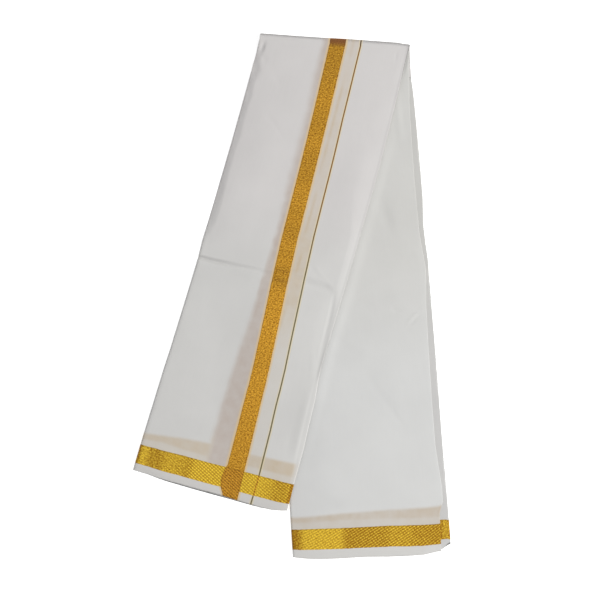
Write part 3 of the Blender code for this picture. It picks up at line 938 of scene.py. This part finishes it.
def wovenMasks(tree, read, at):
    # 1 inside each woven stripe and 0 outside; its edges wander by a thread or two
    shift = mathOf(tree, "MULTIPLY_ADD", noiseOf(tree, at, 0.2, 3.0), 0.9, -0.45)
    half = pattern["borderHalf"]
    band = mathOf(tree, "ADD", read["insideBand"], shift)
    offBorder = mathOf(tree, "ADD", read["fromBorder"], shift)
    border = mathOf(tree, "SUBTRACT", half, mathOf(tree, "ABSOLUTE", offBorder))
    line = mathOf(tree, "SUBTRACT", pattern["lineHalf"], mathOf(tree, "ABSOLUTE", read["fromLine"]))
    masks = {}
    for key, inside, start, stop in (
        ("band", band, -0.35, 0.35),
        ("bandCord", band, -3.6, -1.0),
        ("bandEdge", band, 1.3, 0.3),
        ("line", line, -0.4, 0.4),
        ("lineCord", line, -2.4, -0.7),
        ("border", border, -0.35, 0.35),
        ("borderEdge", offBorder, 1.6 - half, 0.6 - half),
        ("belowBorder", offBorder, -0.35 - half, 0.35 - half),
    ):
        masks[key] = mapped(tree, inside, start, stop, interpolation_type="SMOOTHSTEP")
    return masks


def zariWeave(tree, read, at, colors, masks):
    # short floats of metal thread, packed unevenly
    grain = noiseOf(tree, placed(tree, at, zari["grainScale"]), 1.0, 3.0, 0.7)
    grain = mapped(tree, grain, 0.35, 0.65)
    # the border's slanting rows of floats, each broken into dots
    rows = waveOf(tree, placed(tree, at, turn=zari["rowTurn"]), zari["rowPeriod"], distortion=1.9)
    breaks = waveOf(tree, placed(tree, at, turn=zari["breakTurn"]), zari["breakPeriod"], distortion=1.6)
    dots = mathOf(tree, "MULTIPLY", rows, mathOf(tree, "MULTIPLY_ADD", breaks, 0.7, 0.4))
    twill = mixValue(tree, read["dots"], grain, mixValue(tree, 0.2, dots, grain))
    lifted = mathOf(tree, "ADD", twill, read["borderShift"], use_clamp=True)
    crossed = mixValue(tree, 0.55, rows, grain)
    golds = {}
    for key, part in (("band", grain), ("border", lifted), ("crossing", crossed)):
        golds[key] = mixColor(tree, part, colors[key + "Dark"], colors[key + "Light"])
    # painted shade and sheen on the band, and painted shade on band and line where they turn over the crest
    # and in the middle fold
    foldShade = mapped(tree, read["bandShading"], 0.9, 0.6)
    bandShaded = mixColor(tree, 1.0, golds["band"], read["bandShading"], "MULTIPLY")
    golds["band"] = mixColor(tree, foldShade, bandShaded, colors["bandFoldShade"])
    line = mixColor(tree, read["warmth"], colors["lineWorn"], colors["lineGold"])
    line = mixColor(tree, foldShade, line, colors["lineFoldShade"])
    golds["line"] = mixColor(tree, masks["border"], line, golds["crossing"])
    return golds, mixValue(tree, masks["border"], grain, twill)


def cottonColor(tree, read, at, colors):
    # slow tints, yarns that are not all alike, the painted light and shade, and the hidden gold's blotchy
    # veil
    color = mixColor(tree, read["warmth"], colors["white"], colors["warmWhite"])
    slubs = noiseOf(tree, placed(tree, at, cotton["slubScale"]), 1.0, 2.0)
    uneven = mathOf(tree, "MULTIPLY_ADD", slubs, 0.5, noiseOf(tree, at, cotton["cloudScale"], 3.0))
    for factor in (mapped(tree, uneven, 0.45, 1.05, 0.97, 1.02), read["paintedLightShade"]):
        color = mixColor(tree, 1.0, color, factor, "MULTIPLY")
    blotch = mapped(tree, noiseOf(tree, at, cotton["blotchScale"], 3.0), 0.3, 0.7, 0.82, 1.1)
    veil = mathOf(tree, "MULTIPLY", read["veil"], blotch)
    veilColor = mixColor(tree, read["veilWarmth"], colors["veil"], colors["warmVeil"])
    return mixColor(tree, veil, color, veilColor)


def wovenCotton(name, colors):
    material, tree, shader = newMaterial(name)
    colors = {key: hexColor(code) for key, code in colors.items()}
    at = addNode(tree, "ShaderNodeAttribute", {}, attribute_name="clothPlace").outputs["Vector"]
    read = {}
    for key in weaveNumbers(0, 100, "band"):
        read[key] = addNode(tree, "ShaderNodeAttribute", {}, attribute_name=key).outputs["Fac"]
    masks = wovenMasks(tree, read, at)
    golds, floats = zariWeave(tree, read, at, colors, masks)

    # lay each over the last: pale cords, border, band, their crossing, and the thin line
    color = cottonColor(tree, read, at, colors)
    for part, over in (
        (mathOf(tree, "MULTIPLY", masks["bandCord"], zari["bandCord"]), colors["edgeCord"]),
        (mathOf(tree, "MULTIPLY", masks["lineCord"], zari["lineCord"]), colors["lineCord"]),
        (masks["border"], golds["border"]),
        (masks["band"], golds["band"]),
        (mathOf(tree, "MULTIPLY", masks["band"], masks["belowBorder"]), golds["crossing"]),
        (masks["line"], golds["line"]),
    ):
        color = mixColor(tree, part, color, over)
    # the metal thread thins out along the band's edges and the border's upper one
    thin = mathOf(tree, "MULTIPLY", masks["bandEdge"], masks["band"])
    thin = mathOf(tree, "MAXIMUM", thin, mathOf(tree, "MULTIPLY", masks["borderEdge"], masks["border"]))
    color = mixColor(tree, mathOf(tree, "MULTIPLY", thin, zari["thinning"]), color, hexColor("#000000"))
    tree.links.new(color, shader.inputs["Base Color"])
    gold = mathOf(tree, "MAXIMUM", masks["band"], masks["border"])
    gold = mathOf(tree, "MAXIMUM", gold, masks["line"])
    tree.links.new(mathOf(tree, "MULTIPLY", gold, zari["metal"]), shader.inputs["Metallic"])
    # the floats lie smoother than the gaps between them
    rough = mapped(tree, floats, 0.0, 1.0, zari["gapRoughness"], zari["floatRoughness"])
    tree.links.new(mixValue(tree, gold, cotton["roughness"], rough), shader.inputs["Roughness"])

    # the cotton's threads each way, and the zari's raised floats
    warp = waveOf(tree, at, cotton["threadPeriod"], bands_direction="X")
    weft = waveOf(tree, at, cotton["threadPeriod"], bands_direction="Y")
    plain = mathOf(tree, "MULTIPLY", mathOf(tree, "ADD", warp, weft), cotton["threadHeight"])
    height = mixValue(tree, gold, plain, mathOf(tree, "MULTIPLY", floats, zari["floatHeight"]))
    bump = addNode(tree, "ShaderNodeBump", {"Height": height, "Distance": mm})
    tree.links.new(bump.outputs[0], shader.inputs["Normal"])
    shader.inputs["Specular IOR Level"].default_value = cotton["specular"]
    shader.inputs["Sheen Weight"].default_value = cotton["sheen"]
    shader.inputs["Sheen Roughness"].default_value = cotton["sheenRoughness"]
    return material


# the same cotton in each piece, with what differs in its whites
clothMaterials = {}
for name, materialName, whites in (
    ("band_cloth", "bleachedCottonBandFace", {}),
    ("plain_cloth", "bleachedCottonPlainFace",
     {"white": "#d6d6d3", "warmWhite": "#d1d0cb", "warmVeil": "#c4b7a5"}),
    ("inner_layers_cloth", "bleachedCottonInside", {"white": "#cfcecb"}),
    ("side_fold", "bleachedCottonSideFold", {"white": "#c9c8c5", "warmWhite": "#c8c7c2"}),
):
    clothMaterials[name] = wovenCotton(materialName, {**clothColors, **whites})
print("materials made")


# what each piece stands for: its node and slot, its flat size in metres, and what it rests on
pieces = [
    (bandPiece, "band_stretch", "band_cloth", (0.2, 1.279), ["inner_layers_cloth", "plain_cloth"]),
    (plainPiece, "plain_stretch", "plain_cloth", (0.2, 0.663), ["inner_layers_cloth"]),
    (innerPiece, "inner_layers", "inner_cloth", (0.2, 1.279), ["band_cloth", "plain_cloth"]),
    (sidePiece, "side_stretch", "side_cloth", (0.022, 0.626), ["band_cloth"]),
]
for piece, node, slot, _, _ in pieces:
    piece.data.materials.append(clothMaterials[piece.name])
    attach(piece, "root")
    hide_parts(node)


# floor, light and camera

studio = {
    "floorSize": 24000,
    "floorDrop": 0.2,        # just under the cloth, so that the two do not flicker
    "floorColor": "#fafaf9",
    "keySize": 1900,
    "keyPlace": (2377, -80, 2140),
    "keyPower": 92,
    "skyColor": "#fbfbff",
    "skyStrength": 0.425,
    "floorGlow": 0.6,
    "paperTooth": 0.02,
    "viewCentre": (10.7, -5.5, 5),
    "viewWidth": 781,
    "lens": 135,
    "sensor": 36,
}


def pressedPaper(name, code):
    # matt seamless paper, faintly mottled, and lit a little from behind so that it stays white
    material, tree, shader = newMaterial(name)
    at = addNode(tree, "ShaderNodeTexCoord", {}).outputs["Object"]
    mottle = mapped(tree, noiseOf(tree, at, 9.0, 3.0), 0.0, 1.0, 0.99, 1.0)
    tree.links.new(mixColor(tree, 1.0, hexColor(code), mottle, "MULTIPLY"), shader.inputs["Base Color"])
    tooth = noiseOf(tree, at, 900.0, 2.0)
    tree.links.new(mapped(tree, tooth, 0.0, 1.0, 0.9, 1.0), shader.inputs["Roughness"])
    bump = addNode(tree, "ShaderNodeBump", {"Height": tooth, "Distance": studio["paperTooth"] * mm})
    tree.links.new(bump.outputs[0], shader.inputs["Normal"])
    shader.inputs["Specular IOR Level"].default_value = 0.1
    shader.inputs["Emission Color"].default_value = hexColor("#ffffff")
    shader.inputs["Emission Strength"].default_value = studio["floorGlow"]
    return material


floorMesh = newGrid(4, 4, studio["floorSize"] * mm)
bmesh.ops.translate(floorMesh, verts=floorMesh.verts, vec=(0, 0, -studio["floorDrop"] * mm))
floor = newPiece("floor", floorMesh)
floor.data.materials.append(pressedPaper("seamlessPaper", studio["floorColor"]))

keyLight = bpy.data.lights.new("softbox", "AREA")
keyLight.size = studio["keySize"] * mm
keyLight.energy = studio["keyPower"]
keyObject = bpy.data.objects.new("softbox", keyLight)
keyObject.location = Vector(studio["keyPlace"]) * mm
keyObject.rotation_euler = (-keyObject.location).to_track_quat("-Z", "Y").to_euler()
scene.collection.objects.link(keyObject)

world = bpy.data.worlds.new("studioAir")
scene.world = world
world.use_nodes = True
world.node_tree.nodes["Background"].inputs["Color"].default_value = hexColor(studio["skyColor"])
world.node_tree.nodes["Background"].inputs["Strength"].default_value = studio["skyStrength"]

camera = bpy.data.cameras.new("camera")
camera.lens = studio["lens"]
camera.sensor_width = studio["sensor"]
cameraObject = bpy.data.objects.new("camera", camera)
distance = studio["viewWidth"] * studio["lens"] / studio["sensor"]
cameraObject.location = (Vector(studio["viewCentre"]) + Vector((0, 0, distance))) * mm
camera.clip_end = 100
scene.collection.objects.link(cameraObject)
scene.camera = cameraObject
scene.view_settings.view_transform = "Standard"
print("floor, light and camera set")
